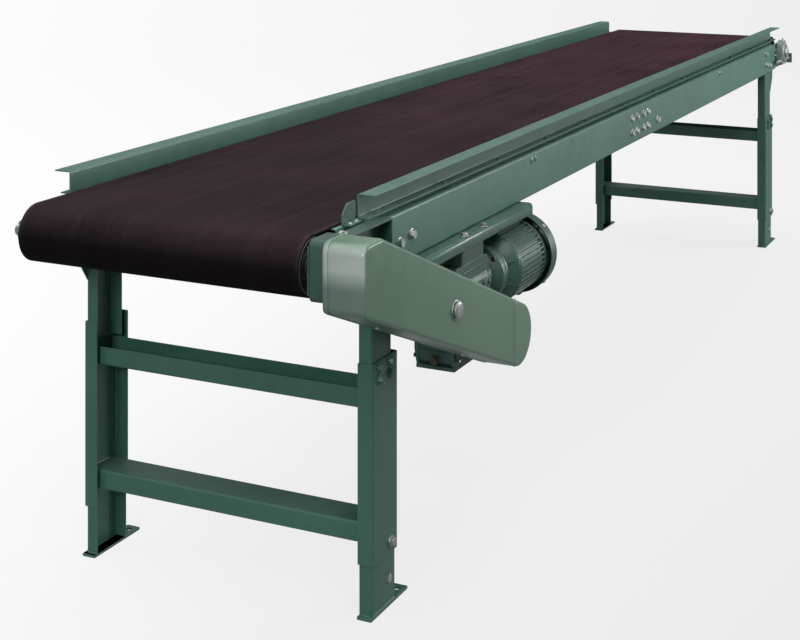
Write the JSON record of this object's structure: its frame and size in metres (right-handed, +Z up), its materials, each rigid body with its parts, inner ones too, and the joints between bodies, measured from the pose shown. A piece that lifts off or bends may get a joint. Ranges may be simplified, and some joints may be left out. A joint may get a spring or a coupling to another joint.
{
  "type": "slider bed belt conveyor section",
  "caption": "Slider-bed belt conveyor on adjustable H supports, with side guard rails, end drive pulley, tail take-ups, and a side-hung worm gearmotor with chain guard.",
  "frame": {"origin": "on the floor, under the middle of the overall bounding box", "axes": "+X along the conveyor from the drive end to the tail end, +Y to the left looking that way (the gearmotor hangs on the -Y side), +Z up"},
  "size_m": [3.774, 0.81, 0.797],
  "materials": {
    "frame_paint": "semi-gloss blue-green enamel",
    "guard_paint": "semi-gloss olive-green enamel",
    "drive_paint": "dark green enamel on cast iron",
    "bare_steel": "turned and zinc plated",
    "belt_rubber": "matt brown-black friction surface",
    "bronze": "machined bronze"
  },
  "bodies": {
    "bed_frame": {"bed_channel_drive_right": "frame_paint", "bed_channel_drive_left": "frame_paint", "bed_channel_tail_right": "frame_paint", "bed_channel_tail_left": "frame_paint", "slider_pan_drive": "frame_paint", "slider_pan_tail": "frame_paint", "splice_plate_right": "frame_paint", "splice_plate_left": "frame_paint", "cross_tie_drive": "frame_paint", "cross_tie_tail": "frame_paint", "guard_rail_right": "frame_paint", "guard_rail_left": "frame_paint", "conveyor_belt": "belt_rubber", "drive_end_plate_right": "frame_paint", "drive_end_plate_left": "frame_paint", "drive_bearing_right": "drive_paint", "drive_bearing_left": "drive_paint", "tail_end_plate_right": "frame_paint", "tail_end_plate_left": "frame_paint", "snub_axle_drive": "bare_steel", "snub_axle_tail": "bare_steel", "return_axle": "bare_steel", "upper_bracket_near_right": "frame_paint", "upper_bracket_near_left": "frame_paint", "upper_bracket_far_right": "frame_paint", "upper_bracket_far_left": "frame_paint", "gearmotor_base": "frame_paint", "reducer_housing": "drive_paint", "motor_body": "drive_paint", "chain_guard_back": "guard_paint", "guard_mount": "frame_paint", "drive_chain": "bare_steel"},
    "drive_rotor": {"drive_pulley": "bare_steel", "drive_shaft": "bare_steel", "driven_sprocket": "bare_steel"},
    "takeup_right": {"takeup_block_right": "drive_paint"},
    "takeup_left": {"takeup_block_left": "drive_paint"},
    "tail_rotor": {"tail_pulley": "bare_steel", "tail_shaft": "bare_steel"},
    "screw_right": {"takeup_screw_right": "bare_steel"},
    "screw_left": {"takeup_screw_left": "bare_steel"},
    "snub_drive": {"snub_roller_drive": "bare_steel"},
    "return_idler": {"return_roller": "bare_steel"},
    "snub_tail": {"snub_roller_tail": "bare_steel"},
    "reducer_output": {"worm_wheel_shaft": "bronze", "drive_sprocket": "bare_steel"},
    "motor_rotor": {"worm_shaft": "bare_steel"},
    "guard_cover": {"chain_guard_cover": "guard_paint"},
    "support_near": {"leg_near_right": "frame_paint", "leg_near_left": "frame_paint", "crossbar_near_lower": "frame_paint", "crossbar_near_upper": "frame_paint"},
    "foot_body_near_right": {"foot_near_right": "frame_paint"},
    "foot_body_near_left": {"foot_near_left": "frame_paint"},
    "support_far": {"leg_far_right": "frame_paint", "leg_far_left": "frame_paint", "crossbar_far_lower": "frame_paint", "crossbar_far_upper": "frame_paint"},
    "foot_body_far_right": {"foot_far_right": "frame_paint"},
    "foot_body_far_left": {"foot_far_left": "frame_paint"}
  },
  "joints": [
    {"name": "drive_pulley_spin", "type": "hinge", "parent": "bed_frame", "child": "drive_rotor", "pos_m": [-1.816, 0.039, 0.7002], "axis": [0, 1, 0], "continuous": true},
    {"name": "takeup_right_slide", "type": "slide", "parent": "bed_frame", "child": "takeup_right", "axis": [1, 0, 0], "range_m": [-0.04, 0]},
    {"name": "takeup_left_slide", "type": "slide", "parent": "bed_frame", "child": "takeup_left", "axis": [1, 0, 0], "range_m": [-0.04, 0]},
    {"name": "tail_pulley_spin", "type": "hinge", "parent": "takeup_right", "child": "tail_rotor", "pos_m": [1.791, 0.039, 0.7002], "axis": [0, 1, 0], "continuous": true},
    {"name": "takeup_right_screw_turn", "type": "hinge", "parent": "bed_frame", "child": "screw_right", "pos_m": [1.791, -0.307, 0.6692], "axis": [1, 0, 0], "continuous": true},
    {"name": "takeup_left_screw_turn", "type": "hinge", "parent": "bed_frame", "child": "screw_left", "pos_m": [1.791, 0.385, 0.6692], "axis": [1, 0, 0], "continuous": true},
    {"name": "snub_roller_drive_spin", "type": "hinge", "parent": "bed_frame", "child": "snub_drive", "pos_m": [-1.65, 0.039, 0.6707], "axis": [0, 1, 0], "continuous": true},
    {"name": "return_roller_spin", "type": "hinge", "parent": "bed_frame", "child": "return_idler", "pos_m": [0.196, 0.039, 0.6707], "axis": [0, 1, 0], "continuous": true},
    {"name": "snub_roller_tail_spin", "type": "hinge", "parent": "bed_frame", "child": "snub_tail", "pos_m": [1.586, 0.039, 0.6707], "axis": [0, 1, 0], "continuous": true},
    {"name": "reducer_output_spin", "type": "hinge", "parent": "bed_frame", "child": "reducer_output", "pos_m": [-1.186, 0.039, 0.436], "axis": [0, 1, 0], "continuous": true},
    {"name": "motor_rotor_spin", "type": "hinge", "parent": "bed_frame", "child": "motor_rotor", "pos_m": [-1.174, -0.268, 0.515], "axis": [1, 0, 0], "continuous": true},
    {"name": "chain_guard_cover_off", "type": "slide", "parent": "bed_frame", "child": "guard_cover", "axis": [0, -1, 0], "range_m": [0, 0.1]},
    {"name": "support_near_height", "type": "slide", "parent": "bed_frame", "child": "support_near", "axis": [0, 0, -1], "range_m": [0, 0.03]},
    {"name": "foot_near_right_level", "type": "slide", "parent": "support_near", "child": "foot_body_near_right", "axis": [0, 0, -1], "range_m": [0, 0.02]},
    {"name": "foot_near_left_level", "type": "slide", "parent": "support_near", "child": "foot_body_near_left", "axis": [0, 0, -1], "range_m": [0, 0.02]},
    {"name": "support_far_height", "type": "slide", "parent": "bed_frame", "child": "support_far", "axis": [0, 0, -1], "range_m": [0, 0.03]},
    {"name": "foot_far_right_level", "type": "slide", "parent": "support_far", "child": "foot_body_far_right", "axis": [0, 0, -1], "range_m": [0, 0.02]},
    {"name": "foot_far_left_level", "type": "slide", "parent": "support_far", "child": "foot_body_far_left", "axis": [0, 0, -1], "range_m": [0, 0.02]}
  ],
  "couplings": [
    {"joint": "tail_pulley_spin", "follows": "drive_pulley_spin", "ratio": 1},
    {"joint": "snub_roller_drive_spin", "follows": "drive_pulley_spin", "ratio": -2.2229},
    {"joint": "return_roller_spin", "follows": "drive_pulley_spin", "ratio": -2.2229},
    {"joint": "snub_roller_tail_spin", "follows": "drive_pulley_spin", "ratio": -2.2229},
    {"joint": "reducer_output_spin", "follows": "drive_pulley_spin", "ratio": 1.2857},
    {"joint": "motor_rotor_spin", "follows": "drive_pulley_spin", "ratio": 25.714},
    {"joint": "takeup_left_slide", "follows": "takeup_right_slide", "ratio": 1}
  ]
}
